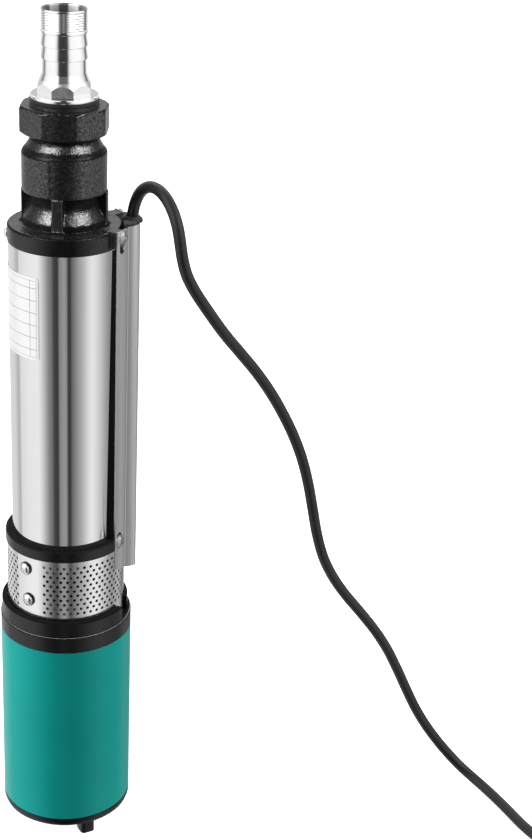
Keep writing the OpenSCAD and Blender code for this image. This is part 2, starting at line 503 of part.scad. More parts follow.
module rating_plate() color([0.95, 0.95, 0.95]) rotate([0, 0, -190]) rotate_extrude(angle = 73, $fn = fr) translate([casing_r, 388]) square([0.3, 59]);

// ---------- drawing ----------
motor_housing();
motor_bottom_cap();
bottom_seal();
pressure_diaphragm();
diaphragm_cover();
cover_screws();
stator_core();
stator_windings();
lower_bearing_outer();
upper_bearing_outer();
motor_top_cap();
top_seal();
seal_seat();
suction_bracket();
bracket_bolts();
strainer_screen();
strainer_screws();
pump_casing();
diffuser_1();
diffuser_2();
diffuser_3();
diffuser_4();
diffuser_5();
diffuser_6();
bearing_bushes();
discharge_head();
cap_screws();
valve_guide();
hose_barb();
barb_gasket();
cable_guard();
guard_screws();
cable_grommet();
cable_gland();
cable_lead();
rating_plate();
mains_cable();
cable_coil();
coil_ties();
cable_tail();
plug_relief();
plug_body();
plug_pins();
motor_shaft();
rotor_core();
rotor_end_rings();
lower_bearing_inner();
upper_bearing_inner();
seal_face();
seal_spring();
sand_slinger();
shaft_coupling();
pump_shaft();
impellers();
impeller_spacers();
impeller_nut();
lower_bearing_balls();
upper_bearing_balls();
valve_poppet();
valve_spring();
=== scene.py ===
import json
import math

import bmesh
import bpy
import numpy as np
from mathutils import Matrix, Vector
from mathutils import noise as mnoise


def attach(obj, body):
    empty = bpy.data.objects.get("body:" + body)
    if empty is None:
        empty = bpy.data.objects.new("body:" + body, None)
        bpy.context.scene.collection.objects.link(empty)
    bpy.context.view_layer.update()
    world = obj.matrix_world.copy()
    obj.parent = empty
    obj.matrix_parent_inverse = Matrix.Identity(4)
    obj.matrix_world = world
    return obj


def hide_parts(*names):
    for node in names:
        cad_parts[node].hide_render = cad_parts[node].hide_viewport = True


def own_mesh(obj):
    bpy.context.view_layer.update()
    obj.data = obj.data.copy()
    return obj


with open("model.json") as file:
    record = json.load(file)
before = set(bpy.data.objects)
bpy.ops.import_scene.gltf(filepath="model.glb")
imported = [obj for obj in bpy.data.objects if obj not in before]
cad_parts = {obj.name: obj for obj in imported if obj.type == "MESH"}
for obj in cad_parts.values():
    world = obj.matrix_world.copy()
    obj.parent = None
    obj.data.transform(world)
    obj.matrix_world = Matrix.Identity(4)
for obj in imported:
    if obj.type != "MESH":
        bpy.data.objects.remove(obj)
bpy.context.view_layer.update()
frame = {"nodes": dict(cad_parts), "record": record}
N = frame["nodes"]
MM = 0.001
scene = bpy.context.scene
scene.view_settings.view_transform = "Standard"


def link(o):
    scene.collection.objects.link(o)
    return o


# ------------------------------------------------------------------ camera
PITCH, YAW, ROLL = math.radians(24.28), math.radians(7.09), math.radians(2.73)
fw = Vector((math.sin(YAW) * math.cos(PITCH), math.cos(YAW) * math.cos(PITCH), -math.sin(PITCH)))
rt = Vector((math.cos(YAW), -math.sin(YAW), 0.0))
up = rt.cross(fw)
rt2 = math.cos(ROLL) * rt + math.sin(ROLL) * up
up2 = -math.sin(ROLL) * rt + math.cos(ROLL) * up
cam_data = bpy.data.cameras.new("camera")
cam_data.sensor_fit = "AUTO"
cam_data.sensor_width = 36.0
cam_data.lens = 1770.0 / 840.0 * 36.0
cam_data.clip_start = 0.01
cam_data.clip_end = 100
cam = link(bpy.data.objects.new("camera", cam_data))
cam.matrix_world = Matrix((
    (rt2.x, up2.x, -fw.x, 0.0),
    (rt2.y, up2.y, -fw.y, -1.150),
    (rt2.z, up2.z, -fw.z, 0.851),
    (0.0, 0.0, 0.0, 1.0),
))
scene.camera = cam

# ------------------------------------------------------------------ cable
CABLE_D = 8.0
ROUTE = [
    (45, 0, 477), (46.5, -3.1, 488.3), (48.9, -8.3, 497.4), (52.4, -15.7, 504.3), (56.6, -24.8, 508.3), (61.2, -34.5, 508.9),
    (65.6, -43.9, 506.2), (69.4, -52, 500.4), (72.3, -58.2, 492.1), (74.1, -61.8, 482.1), (75.8, -63.2, 471.4), (78.7, -63.5, 461),
    (83.4, -62.8, 451.1), (94.5, -58.2, 432.8), (105.8, -51.4, 415.1), (117.9, -44.1, 398.3), (130.1, -37.3, 381.3), (141.4, -31.3, 363.5),
    (151.6, -26.2, 344.7), (160.8, -22, 325.1), (168.4, -18.5, 304.8), (174.2, -15.7, 283.8), (178.8, -13.3, 262.4), (183.4, -10.7, 241),
    (189.6, -7.7, 220.2), (198.7, -3.7, 200.6), (210.2, 0.5, 182.3), (223.1, 4.1, 164.9), (235.8, 7.1, 147.2), (247.1, 9.9, 128.6),
    (256.8, 12.5, 109), (265.9, 14.2, 89.1), (275.4, 15.9, 69.3), (286.5, 16.9, 50.4), (299.5, 15.9, 32.7), (307.3, 14, 23.9),
    (315.5, 10.4, 16.1), (323.9, 4.3, 10.4), (331.4, -4.1, 6.9), (337.6, -14.1, 5.1), (342.7, -24.9, 4.3), (347.1, -36.1, 4.1),
    (353.5, -52.9, 4), (361.7, -68.8, 4), (372.9, -82.8, 4), (386.9, -94, 4), (403, -102, 4),
]
TAIL = [(465, 51, 36), (448, 49, 38), (432, 43, 41), (418, 34, 44), (408, 22, 46), (404, 8, 46)]
COIL_C = (465.0, -36.0)


def smooth(t):
    t = min(max(t, 0.0), 1.0)
    return t * t * (3 - 2 * t)


def coil_points():
    """Five turns to a layer and four layers, each turn level and round, with a short step to the next one."""
    radii = [87, 79, 71, 63, 55]
    turns = []
    for layer in range(4):
        order = radii if layer % 2 == 0 else radii[::-1]
        turns += [(r, 4 + 8 * layer) for r in order]
    a0, step, zone = 252.0, 18.0, 54.0
    last = 19 * 360 + 198.0
    pts, a = [], 0.0
    while a <= last - 60.0 + 1e-6:
        k = int(a // 360)
        r, z = turns[k]
        rest = a - 360 * k
        if k + 1 < len(turns) and rest > 360 - zone:
            u = smooth((rest - (360 - zone)) / zone)
            r += (turns[k + 1][0] - r) * u
            z += (turns[k + 1][1] - z) * u
        if k == len(turns) - 1 and a > last - 110:
            z += 8 * smooth((a - (last - 110)) / 110)
        t = math.radians(a0 + a)
        pts.append((COIL_C[0] + r * math.cos(t), COIL_C[1] + r * math.sin(t), z))
        a += step
    a = last - 36
    t = math.radians(a0 + a)
    pts.append((COIL_C[0] + 87 * math.cos(t), COIL_C[1] + 87 * math.sin(t), 28 + 8 * smooth((a - (last - 110)) / 110)))
    return pts


def spline(points, step):
    """A smooth line through the points (centripetal Catmull-Rom), sampled about every step."""
    P = [np.array(p, float) for p in points]
    P = [2 * P[0] - P[1]] + P + [2 * P[-1] - P[-2]]
    out = []
    for a, b, c, d in zip(P, P[1:], P[2:], P[3:]):
        t0 = 0.0
        t1 = t0 + np.linalg.norm(b - a) ** 0.5
        t2 = t1 + np.linalg.norm(c - b) ** 0.5
        t3 = t2 + np.linalg.norm(d - c) ** 0.5
        n = max(2, int(round(np.linalg.norm(c - b) / step)))
        for i in range(n):
            t = t1 + (t2 - t1) * i / n
            A1 = (t1 - t) / (t1 - t0) * a + (t - t0) / (t1 - t0) * b
            A2 = (t2 - t) / (t2 - t1) * b + (t - t1) / (t2 - t1) * c
            A3 = (t3 - t) / (t3 - t2) * c + (t - t2) / (t3 - t2) * d
            B1 = (t2 - t) / (t2 - t0) * A1 + (t - t0) / (t2 - t0) * A2
            B2 = (t3 - t) / (t3 - t1) * A2 + (t - t1) / (t3 - t1) * A3
            out.append((t2 - t) / (t2 - t1) * B1 + (t - t1) / (t2 - t1) * B2)
    out.append(P[-2])
    return np.array(out)


def tube(name, path, radius, n=24):
    """A round tube along a path, with frames carried along it and flat capped ends."""
    tan = np.gradient(path, axis=0)
    tan /= np.linalg.norm(tan, axis=1)[:, None]
    u = np.cross(tan[0], (0.3, 1.0, 0.2))
    u /= np.linalg.norm(u)
    verts, faces = [], []
    for p, t in zip(path, tan):
        u = u - t * u.dot(t)
        u /= np.linalg.norm(u)
        w = np.cross(t, u)
        for j in range(n):
            a = 2 * math.pi * j / n
            verts.append(p + radius * (math.cos(a) * u + math.sin(a) * w))
    for i in range(len(path) - 1):
        for j in range(n):
            k = (j + 1) % n
            faces.append((i * n + j, i * n + k, (i + 1) * n + k, (i + 1) * n + j))
    faces.append(tuple(range(n))[::-1])
    faces.append(tuple(range((len(path) - 1) * n, len(path) * n)))
    me = bpy.data.meshes.new(name)
    me.from_pydata([tuple(v) for v in verts], [], faces)
    me.polygons.foreach_set("use_smooth", [len(f) == 4 for f in faces])
    return link(bpy.data.objects.new(name, me))


cable_path = spline([[c * MM for c in p] for p in ROUTE + coil_points() + TAIL], 0.004)
cable_path[:, 2] = np.maximum(cable_path[:, 2], CABLE_D * MM / 2)
cable = tube("supply_cable", cable_path, CABLE_D * MM / 2)
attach(cable, "pump_frame")
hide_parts("mains_cable", "cable_coil", "cable_tail")


# ------------------------------------------------------------------ materials
class Mat:
    """A small helper for node materials."""

    def __init__(self, name):
        self.m = bpy.data.materials.new(name)
        self.m.use_nodes = True
        self.t = self.m.node_tree
        self.b = self.t.nodes["Principled BSDF"]
        self.tc = self.t.nodes.new("ShaderNodeTexCoord")

    def set(self, **kw):
        names = {"color": "Base Color", "metallic": "Metallic", "rough": "Roughness", "coat": "Coat Weight", "coat_rough": "Coat Roughness",
                 "spec": "Specular IOR Level", "ior": "IOR", "aniso": "Anisotropic", "sheen": "Sheen Weight", "coat_ior": "Coat IOR"}
        for k, v in kw.items():
            s = self.b.inputs[names[k]]
            s.default_value = (*v, 1.0) if k == "color" else v
        return self

    def node(self, kind, **kw):
        n = self.t.nodes.new(kind)
        for k, v in kw.items():
            setattr(n, k, v)
        return n

    def wire(self, a, b):
        self.t.links.new(a, b)

    def mapped(self, scale=(1, 1, 1)):
        mp = self.node("ShaderNodeMapping")
        mp.inputs["Scale"].default_value = scale
        self.wire(self.tc.outputs["Object"], mp.inputs["Vector"])
        return mp.outputs["Vector"]

    def noise(self, scale, detail=3, rough=0.5, stretch=(1, 1, 1), vec=None):
        n = self.node("ShaderNodeTexNoise")
        n.inputs["Scale"].default_value = scale
        n.inputs["Detail"].default_value = detail
        n.inputs["Roughness"].default_value = rough
        self.wire(vec or self.mapped(stretch), n.inputs["Vector"])
        return n.outputs["Fac"]

    def ramp(self, fac, stops):
        r = self.node("ShaderNodeValToRGB")
        els = r.color_ramp.elements
        while len(els) < len(stops):
            els.new(0.5)
        for e, (p, c) in zip(els, stops):
            e.position = p
            e.color = (*c, 1.0) if len(c) == 3 else c
        self.wire(fac, r.inputs["Fac"])
        return r.outputs["Color"]

    def rng(self, fac, a, b, c, d):
        r = self.node("ShaderNodeMapRange")
        for i, v in zip(("From Min", "From Max", "To Min", "To Max"), (a, b, c, d)):
            r.inputs[i].default_value = v
        self.wire(fac, r.inputs["Value"])
        return r.outputs["Result"]

    def math(self, op, a, b=None):
        n = self.node("ShaderNodeMath", operation=op)
        for i, v in enumerate((a, b)):
            if v is None:
                continue
            if isinstance(v, (int, float)):
                n.inputs[i].default_value = v
            else:
                self.wire(v, n.inputs[i])
        return n.outputs[0]

    def mix(self, fac, a, b):
        n = self.node("ShaderNodeMix", data_type="RGBA")
        for sock, v in ((n.inputs[0], fac), (n.inputs[6], a), (n.inputs[7], b)):
            if isinstance(v, tuple):
                sock.default_value = (*v, 1.0) if len(v) == 3 else v
            elif isinstance(v, (int, float)):
                sock.default_value = v
            else:
                self.wire(v, sock)
        return n.outputs[2]

    def color(self, out):
        self.wire(out, self.b.inputs["Base Color"])
        return self

    def roughness(self, out):
        self.wire(out, self.b.inputs["Roughness"])
        return self

    def bump(self, height, strength=0.2, distance=0.0005, coat=False):
        b = self.node("ShaderNodeBump")
        b.inputs["Strength"].default_value = strength
        b.inputs["Distance"].default_value = distance
        self.wire(height, b.inputs["Height"])
        if self.b.inputs["Normal"].is_linked:
            old = self.b.inputs["Normal"].links[0].from_socket
            self.wire(old, b.inputs["Normal"])
        self.wire(b.outputs["Normal"], self.b.inputs["Normal"])
        if coat:
            self.wire(b.outputs["Normal"], self.b.inputs["Coat Normal"])
        return self


def m_paint():
    m = Mat("green_paint").set(color=(0.0, 0.225, 0.2), rough=0.25, spec=0.13)
    v = m.noise(14, 4, 0.6)
    m.color(m.ramp(v, [(0.3, (0.0, 0.212, 0.188)), (0.7, (0.0, 0.238, 0.211))]))
    m.roughness(m.rng(m.noise(60, 3), 0.2, 0.8, 0.22, 0.32))
    m.bump(m.noise(420, 2), 0.05, 0.0003)
    return m.m


def m_cast(name="black_casting", dark=0.003, light=0.009, grain=1.0):
    m = Mat(name).set(color=(0.006, 0.006, 0.0063), rough=0.32, spec=0.7)
    fine = m.noise(1050, 2, 0.5)
    mid = m.noise(420, 3, 0.55)
    sep = m.node("ShaderNodeSeparateXYZ")
    m.wire(m.tc.outputs["Object"], sep.inputs[0])
    rad = m.math("SQRT", m.math("ADD", m.math("POWER", sep.outputs["X"], 2.0), m.math("POWER", sep.outputs["Y"], 2.0)))
    side = m.math("MULTIPLY", m.rng(rad, 0.0377, 0.0385, 0.0, 1.0), m.rng(sep.outputs["Z"], 0.4741, 0.4747, 1.0, 0.0))
    rough_cast = m.math("SUBTRACT", 1.0, m.math("MULTIPLY", side, 0.86))
    m.color(m.ramp(mid, [(0.3, (dark, dark, dark * 1.05)), (0.75, (light, light, light * 1.04))]))
    m.roughness(m.rng(fine, 0.25, 0.75, 0.22, 0.36))
    facing = m.node("ShaderNodeSeparateXYZ")
    m.wire(m.node("ShaderNodeNewGeometry").outputs["Normal"], facing.inputs[0])
    tilt = m.math("MULTIPLY", m.rng(facing.outputs["Z"], 0.06, 0.16, 0.0, 1.0), m.rng(facing.outputs["Z"], 0.9, 0.98, 1.0, 0.0))
    waist = m.math("MULTIPLY", m.math("LESS_THAN", m.math("ABSOLUTE", m.math("SUBTRACT", sep.outputs["Z"], 0.4879)), 0.0115), m.math("LESS_THAN", rad, 0.0305))
    shoulder = m.math("LESS_THAN", m.math("ABSOLUTE", m.math("SUBTRACT", sep.outputs["Z"], 0.5322)), 0.0062)
    # painted shade and highlight: reflection strength is dimmed on tilted faces and in the waist and shoulder, and
    # raised again in the bands that face the softboxes and on the outer faces of the ribs
    shade_zones = m.math("MAXIMUM", tilt, m.math("MAXIMUM", waist, shoulder))
    front = m.math("DIVIDE", m.math("ABSOLUTE", sep.outputs["X"]), rad)
    rib = m.math("MULTIPLY", m.math("MULTIPLY", waist, m.rng(rad, 0.0285, 0.0288, 0.0, 0.42)), m.rng(facing.outputs["Z"], 0.2, 0.5, 1.0, 0.0))
    # painted shade: on top of the sand grain, the casting's reflection is dimmed towards its front and back (small
    # |X|)
    sand_and_front_shade = m.math("MULTIPLY", m.rng(m.noise(760, 2, 0.6), 0.36, 0.64, 0.3, 1.1), m.rng(front, 0.1, 0.42, 0.28, 0.86))
    painted_highlight = m.math("MULTIPLY", m.rng(facing.outputs["Z"], 0.28, 0.42, 0.0, 1.0), m.rng(facing.outputs["Z"], 0.53, 0.6, 1.0, 0.0))
    on_waist = m.math("MULTIPLY", waist, m.rng(sep.outputs["Z"], 0.4785, 0.4815, 0.0, 1.0))
    painted_highlight = m.math("MULTIPLY", painted_highlight, m.math("MAXIMUM", on_waist, m.rng(sep.outputs["Z"], 0.5283, 0.5297, 0.0, 1.0)))
    walls = m.math("ADD", m.math("MULTIPLY", m.math("MULTIPLY", m.math("SUBTRACT", 1.0, shade_zones), m.math("SUBTRACT", 1.0, side)), sand_and_front_shade), m.math("MULTIPLY", shade_zones, m.math("MAXIMUM", rib, m.rng(painted_highlight, 0.0, 1.0, 0.02, 0.17))))
    # painted shade: the side of the cap is dimmed the same way towards its front and back
    m.wire(m.math("ADD", walls, m.math("MULTIPLY", side, m.rng(front, 0.1, 0.6, 0.05, 0.34))), m.b.inputs["Specular IOR Level"])
    coarse = m.math("MULTIPLY", rough_cast, m.rng(shade_zones, 0.0, 1.0, 1.1, 0.9))
    m.bump(m.math("MULTIPLY", mid, coarse), 0.3 * grain, 0.0006)
    m.bump(m.math("MULTIPLY", fine, coarse), 0.5 * grain, 0.0004)
    return m.m


def m_satin_black():
    m = Mat("satin_black").set(color=(0.002, 0.002, 0.0022), rough=0.28, spec=0.38)
    lines = m.noise(1.0, 3, 0.6, stretch=(14, 14, 1400))
    m.color(m.ramp(m.noise(40, 3), [(0.3, (0.0015, 0.0015, 0.0016)), (0.7, (0.0026, 0.0026, 0.0028))]))
    facing = m.node("ShaderNodeSeparateXYZ")
    m.wire(m.node("ShaderNodeNewGeometry").outputs["Normal"], facing.inputs[0])
    top = m.rng(facing.outputs["Z"], 0.25, 0.6, 0.0, 1.0)
    m.roughness(m.math("ADD", m.rng(m.noise(120, 3), 0.25, 0.75, 0.22, 0.33), m.math("MULTIPLY", top, 0.35)))
    m.wire(m.rng(top, 0.0, 1.0, 0.38, 0.1), m.b.inputs["Specular IOR Level"])
    m.bump(lines, 0.08, 0.0002)
    return m.m


def m_polished():
    m = Mat("polished_stainless").set(color=(0.78, 0.78, 0.785), metallic=1.0, rough=0.08)
    streak = m.noise(1.0, 4, 0.6, stretch=(500, 500, 4))
    m.color(m.ramp(m.noise(1.0, 3, 0.5, stretch=(60, 60, 2)), [(0.3, (0.755, 0.755, 0.76)), (0.7, (0.81, 0.81, 0.815))]))
    m.roughness(m.rng(streak, 0.25, 0.75, 0.04, 0.085))
    m.bump(streak, 0.03, 0.0001)
    return m.m


def m_brushed(name="brushed_stainless", lo=0.22, hi=0.34, col=0.68, stretch=(700, 700, 6), bump=0.06):
    m = Mat(name).set(color=(col, col, col * 1.005), metallic=1.0, rough=0.28)
    streak = m.noise(1.0, 4, 0.65, stretch=stretch)
    m.color(m.ramp(streak, [(0.25, (col * 0.93, col * 0.93, col * 0.94)), (0.75, (col * 1.06, col * 1.06, col * 1.065))]))
    m.roughness(m.rng(streak, 0.25, 0.75, lo, hi))
    m.bump(streak, bump, 0.0001)
    return m.m


def m_guard():
    """Satin sheet, with the soft shade of the bend from flange to channel painted into its colour."""
    m = Mat("satin_sheet").set(color=(0.68, 0.68, 0.685), metallic=1.0, rough=0.3)
    sep = m.node("ShaderNodeSeparateXYZ")
    m.wire(m.tc.outputs["Object"], sep.inputs[0])
    side = m.math("ABSOLUTE", m.math("ARCTAN2", m.math("SUBTRACT", sep.outputs["X"], 0.0365), m.math("ABSOLUTE", sep.outputs["Y"])))
    rad = m.math("SQRT", m.math("ADD", m.math("POWER", sep.outputs["X"], 2.0), m.math("POWER", sep.outputs["Y"], 2.0)))
    channel = m.rng(rad, 0.0444, 0.0449, 0.0, 1.0)
    # painted shade: the channel's colour darkens towards the fold from the flange
    bend_painted_shade = m.ramp(m.rng(side, 0.0, math.pi / 2, 0.0, 1.0), [(d / 90, (v, v, v)) for d, v in ((0, 0.24), (29, 0.24), (36, 0.33), (43, 0.58), (50, 0.85), (62, 0.8), (90, 0.74))])
    streak = m.noise(1.0, 4, 0.65, stretch=(700, 700, 6))
    m.color(m.mix(channel, m.ramp(streak, [(0.25, (0.66, 0.66, 0.665)), (0.75, (0.74, 0.74, 0.745))]), bend_painted_shade))
    m.roughness(m.rng(streak, 0.25, 0.75, 0.22, 0.32))
    m.bump(streak, 0.06, 0.0001)
    return m.m


def m_chrome():
    m = Mat("plated").set(color=(0.86, 0.86, 0.865), metallic=1.0, rough=0.07)
    sep = m.node("ShaderNodeSeparateXYZ")
    m.wire(m.tc.outputs["Object"], sep.inputs[0])
    rad = m.math("SQRT", m.math("ADD", m.math("POWER", sep.outputs["X"], 2.0), m.math("POWER", sep.outputs["Y"], 2.0)))
    outside = m.math("GREATER_THAN", rad, 0.0142)
    plated = m.ramp(m.noise(30, 3), [(0.3, (0.83, 0.83, 0.84)), (0.7, (0.88, 0.88, 0.885))])
    back = m.rng(m.math("ARCTAN2", sep.outputs["X"], sep.outputs["Y"]), -math.pi, math.pi, 0.0, 1.0)
    # painted reflection: the non-metallic bore wall carries light and dark stripes by azimuth in its colour
    bore_painted_reflections = m.ramp(back, [((d + 180) / 360, (v, v, v)) for d, v in ((-180, 0.4), (-90, 0.2), (-60, 0.1), (-46, 0.12), (-40, 0.62), (-18, 0.55), (-12, 0.1), (9, 0.1), (15, 0.95), (38, 0.9), (47, 0.12), (90, 0.2), (180, 0.4))])
    rim = m.math("GREATER_THAN", sep.outputs["Z"], 0.6191)
    m.color(m.mix(rim, m.mix(outside, bore_painted_reflections, plated), (0.42, 0.42, 0.425)))
    m.wire(outside, m.b.inputs["Metallic"])
    hexed = m.math("MULTIPLY", m.math("GREATER_THAN", sep.outputs["Z"], 0.5642), m.math("LESS_THAN", sep.outputs["Z"], 0.5735))
    skin_r = m.math("ADD", m.rng(m.noise(300, 3), 0.25, 0.75, 0.05, 0.11), m.math("MULTIPLY", hexed, m.rng(m.noise(260, 3), 0.3, 0.7, 0.22, 0.3)))
    bore_r = m.rng(m.noise(500, 3), 0.25, 0.75, 0.42, 0.55)
    m.roughness(m.math("ADD", m.math("MULTIPLY", skin_r, outside), m.math("MULTIPLY", bore_r, m.math("SUBTRACT", 1.0, outside))))
    return m.m


def m_steel(name="turned_steel", col=(0.5, 0.5, 0.52), rough=(0.22, 0.34), stretch=(20, 20, 1500)):
    m = Mat(name).set(color=col, metallic=1.0, rough=0.3)
    lines = m.noise(1.0, 3, 0.6, stretch=stretch)
    m.color(m.ramp(lines, [(0.3, tuple(c * 0.9 for c in col)), (0.7, tuple(min(1, c * 1.08) for c in col))]))
    m.roughness(m.rng(lines, 0.25, 0.75, *rough))
    m.bump(lines, 0.08, 0.0001)
    return m.m


def m_rubber(name="rubber", a=0.004, b=0.009, rough=(0.42, 0.6), grain=700, strength=0.15, spec=0.45):
    m = Mat(name).set(color=(a, a, a), rough=0.5, spec=spec)
    n = m.noise(grain, 3)
    m.color(m.ramp(m.noise(90, 3), [(0.3, (a, a, a * 1.02)), (0.7, (b, b, b * 1.03))]))
    m.roughness(m.rng(n, 0.25, 0.75, *rough))
    m.bump(n, strength, 0.0003)
    return m.m


def m_plastic(name, col, rough=(0.35, 0.5)):
    m = Mat(name).set(color=col, rough=0.42, spec=0.5)
    m.color(m.ramp(m.noise(60, 3), [(0.3, tuple(c * 0.93 for c in col)), (0.7, col)]))
    m.roughness(m.rng(m.noise(300, 2), 0.25, 0.75, *rough))
    m.bump(m.noise(900, 2), 0.05, 0.0002)
    return m.m


def m_lamination():
    m = Mat("stacked_sheet").set(color=(0.16, 0.165, 0.175), metallic=1.0, rough=0.42)
    lines = m.noise(1.0, 2, 0.5, stretch=(3, 3, 2200))
    m.color(m.ramp(lines, [(0.35, (0.10, 0.10, 0.11)), (0.65, (0.2, 0.205, 0.215))]))
    m.roughness(m.rng(lines, 0.2, 0.8, 0.35, 0.5))
    m.bump(lines, 0.3, 0.0003)
    return m.m


def m_copper():
    m = Mat("varnished_copper").set(color=(0.42, 0.14, 0.05), metallic=0.85, rough=0.35, coat=0.5, coat_rough=0.15)
    w = m.noise(1.0, 2, 0.5, stretch=(900, 900, 60))
    m.color(m.ramp(w, [(0.3, (0.30, 0.09, 0.03)), (0.7, (0.52, 0.19, 0.07))]))
    m.roughness(m.rng(w, 0.2, 0.8, 0.28, 0.45))
    m.bump(w, 0.4, 0.0006)
    return m.m


MAT = {
    "motor_paint": m_paint(),
    "cast_black": m_cast(),
    "ring_black": m_satin_black(),
    "stainless_polished": m_polished(),
    "stainless_brushed": m_brushed(lo=0.12, hi=0.22, col=0.82),
    "chromed": m_chrome(),
    "steel": m_steel(),
    "lamination": m_lamination(),
    "copper": m_copper(),
    "aluminium": m_steel("cast_aluminium", (0.72, 0.73, 0.75), (0.35, 0.5), (80, 80, 80)),
    "brass": m_steel("turned_brass", (0.62, 0.43, 0.16), (0.2, 0.32)),
    "rubber_black": m_rubber(),
    "cable_black": m_rubber("cable_sheath", 0.004, 0.007, (0.36, 0.48), 500, 0.08),
    "polymer": m_plastic("moulded_polymer", (0.72, 0.68, 0.56)),
    "ceramic": m_plastic("lapped_ceramic", (0.75, 0.72, 0.64), (0.15, 0.25)),
    "plate_white": m_plastic("white_film", (0.82, 0.82, 0.82), (0.25, 0.35)),
}
for sp in frame["record"]["subparts"]:
    o = N[sp["node"]]
    o.data.materials.clear()
    o.data.materials.append(MAT[sp["material_slot"]])
cable.data.materials.append(MAT["cable_black"])
N["cable_guard"].data.materials[0] = m_guard()

# ------------------------------------------------------------------ pieces
def piece(name, me, body, nodes, slot, mat=None):
    o = link(bpy.data.objects.new(name, me))
    me.polygons.foreach_set("use_smooth", [True] * len(me.polygons))
    me.materials.append(mat or MAT[slot])
    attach(o, body)
    if nodes:
        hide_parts(*nodes)
    return o


def to_mesh(name, bm, sharp=38):
    bmesh.ops.recalc_face_normals(bm, faces=bm.faces[:])
    for e in bm.edges:
        if len(e.link_faces) == 2 and e.calc_face_angle(0) > math.radians(sharp):
            e.smooth = False
    me = bpy.data.meshes.new(name)
    bm.to_mesh(me)
    bm.free()
    return me


def skin(bm, rings, closed=False, start_cap=False, end_cap=False):
    """Join rings of points that all have the same count."""
    vs = [[bm.verts.new(p) for p in ring] for ring in rings]
    n = len(vs[0])
    pairs = list(zip(vs, vs[1:])) + ([(vs[-1], vs[0])] if closed else [])
    for a, b in pairs:
        for j in range(n):
            bm.faces.new((a[j], a[(j + 1) % n], b[(j + 1) % n], b[j]))
    if start_cap:
        bm.faces.new(vs[0][::-1])
    if end_cap:
        bm.faces.new(vs[-1])
    return vs


def turned(bm, profile, matrix, n=48):
    """A closed turned solid: profile of (radius, height) from one end to the other, both ends capped."""
    rings = [[matrix @ Vector((r * math.cos(2 * math.pi * j / n), r * math.sin(2 * math.pi * j / n), z)) for j in range(n)] for r, z in profile]
    skin(bm, rings, start_cap=True, end_cap=True)


def radial(t, r, z):
    """Local +Z points outward at direction t, with the origin on radius r."""
    return Matrix.Rotation(math.radians(t - 90), 4, "Z") @ Matrix.Translation((r, 0, z)) @ Matrix.Rotation(math.radians(90), 4, "Y")


def screw(bm, matrix, R, h, shank_r, shank_l, spin):
    """Pan head with a rolled flange and a cross recess."""
    n = 72
    prof = [(shank_r * 0.7, -shank_l), (shank_r, -shank_l + 0.5 * MM), (shank_r, 0), (R * 0.97, 0), (R, 0.04 * h), (R, 0.16 * h), (R * 0.985, 0.21 * h),
            (R * 0.93, 0.24 * h), (R * 0.875, 0.26 * h), (R * 0.855, 0.32 * h), (R * 0.85, 0.42 * h)]
    rings = [[matrix @ Vector((r * math.cos(2 * math.pi * j / n), r * math.sin(2 * math.pi * j / n), z)) for j in range(n)] for r, z in prof]
    top = 22
    for i in range(top):
        f = 0.83 * (1 - i / top) + 0.004
        ring = []
        for j in range(n):
            a = 2 * math.pi * j / n
            x, y = f * math.cos(a), f * math.sin(a)
            z = 0.42 + 0.58 * (1 - (f / 0.845) ** 2.6)
            u = abs(x * math.cos(spin) + y * math.sin(spin))
            v = abs(-x * math.sin(spin) + y * math.cos(spin))
            w = 0.095 + 0.03 * (1 - min(f / 0.5, 1))
            if min(u, v) < w and max(u, v) < 0.5:
                z -= 0.5 * (1 - 0.45 * max(u, v) / 0.5)
            ring.append(matrix @ Vector((x * R, y * R, z * h)))
        rings.append(ring)
    skin(bm, rings, start_cap=True, end_cap=True)


def screws(name, spots, R, h, shank_r, slot, node, seed):
    bm = bmesh.new()
    for k, (t, r, z, length) in enumerate(spots):
        screw(bm, radial(t, r * MM, z * MM), R * MM, h * MM, shank_r * MM, length * MM, 0.4 + seed + 1.3 * k)
    return piece(name, to_mesh(name, bm, 50), "pump_frame", [node], slot)


SPEC = {sp["node"]: sp["material_slot"] for sp in frame["record"]["subparts"]}
pan = screws("guard_pan_screws", [(t, 44.5, z, 5 if z < 300 else 7.5) for t in (58.7, 121.3) for z in (243.2, 472.6)], 5.2, 2.8, 1.5, SPEC["guard_screws"], "guard_screws", 0.1)
pan.data.materials.clear()
pan.data.materials.append(m_steel("guard_screw_steel", (0.36, 0.36, 0.37), (0.14, 0.24)))
screws("strainer_pan_screws", [(-38.8, 43.9, 202.4, 7.8), (-42, 43.9, 227, 7.8)], 4.4, 2.2, 1.6, SPEC["strainer_screws"], "strainer_screws", 0.5)
screws("cap_pan_screws", [(-90, 39, 468, 5), (180, 39, 468, 5)], 3.4, 2.2, 2.0, SPEC["cap_screws"], "cap_screws", 0.9)


def shadow_washers():
    """Rubber washers under the strainer screws; their black rim beside each head stands in for the shadow of the head
    (painted shadow).
    """
    bm = bmesh.new()
    for t, z in ((-38.8, 202.4), (-42, 227)):
        M = radial(t, 42.6 * MM, z * MM)
        prof = [(1.7, 0.0), (4.5, 0.0), (4.85, 0.2), (4.95, 0.6), (4.85, 1.05), (4.5, 1.3), (1.7, 1.3)]
        rings = [[M @ Vector((r * MM * math.cos(2 * math.pi * j / 48), r * MM * math.sin(2 * math.pi * j / 48), h * MM)) for j in range(48)] for r, h in prof]
        skin(bm, rings, closed=True)
    return piece("strainer_shadow_washers", to_mesh("strainer_shadow_washers", bm), "pump_frame", [], "rubber_black")


shadow_washers()


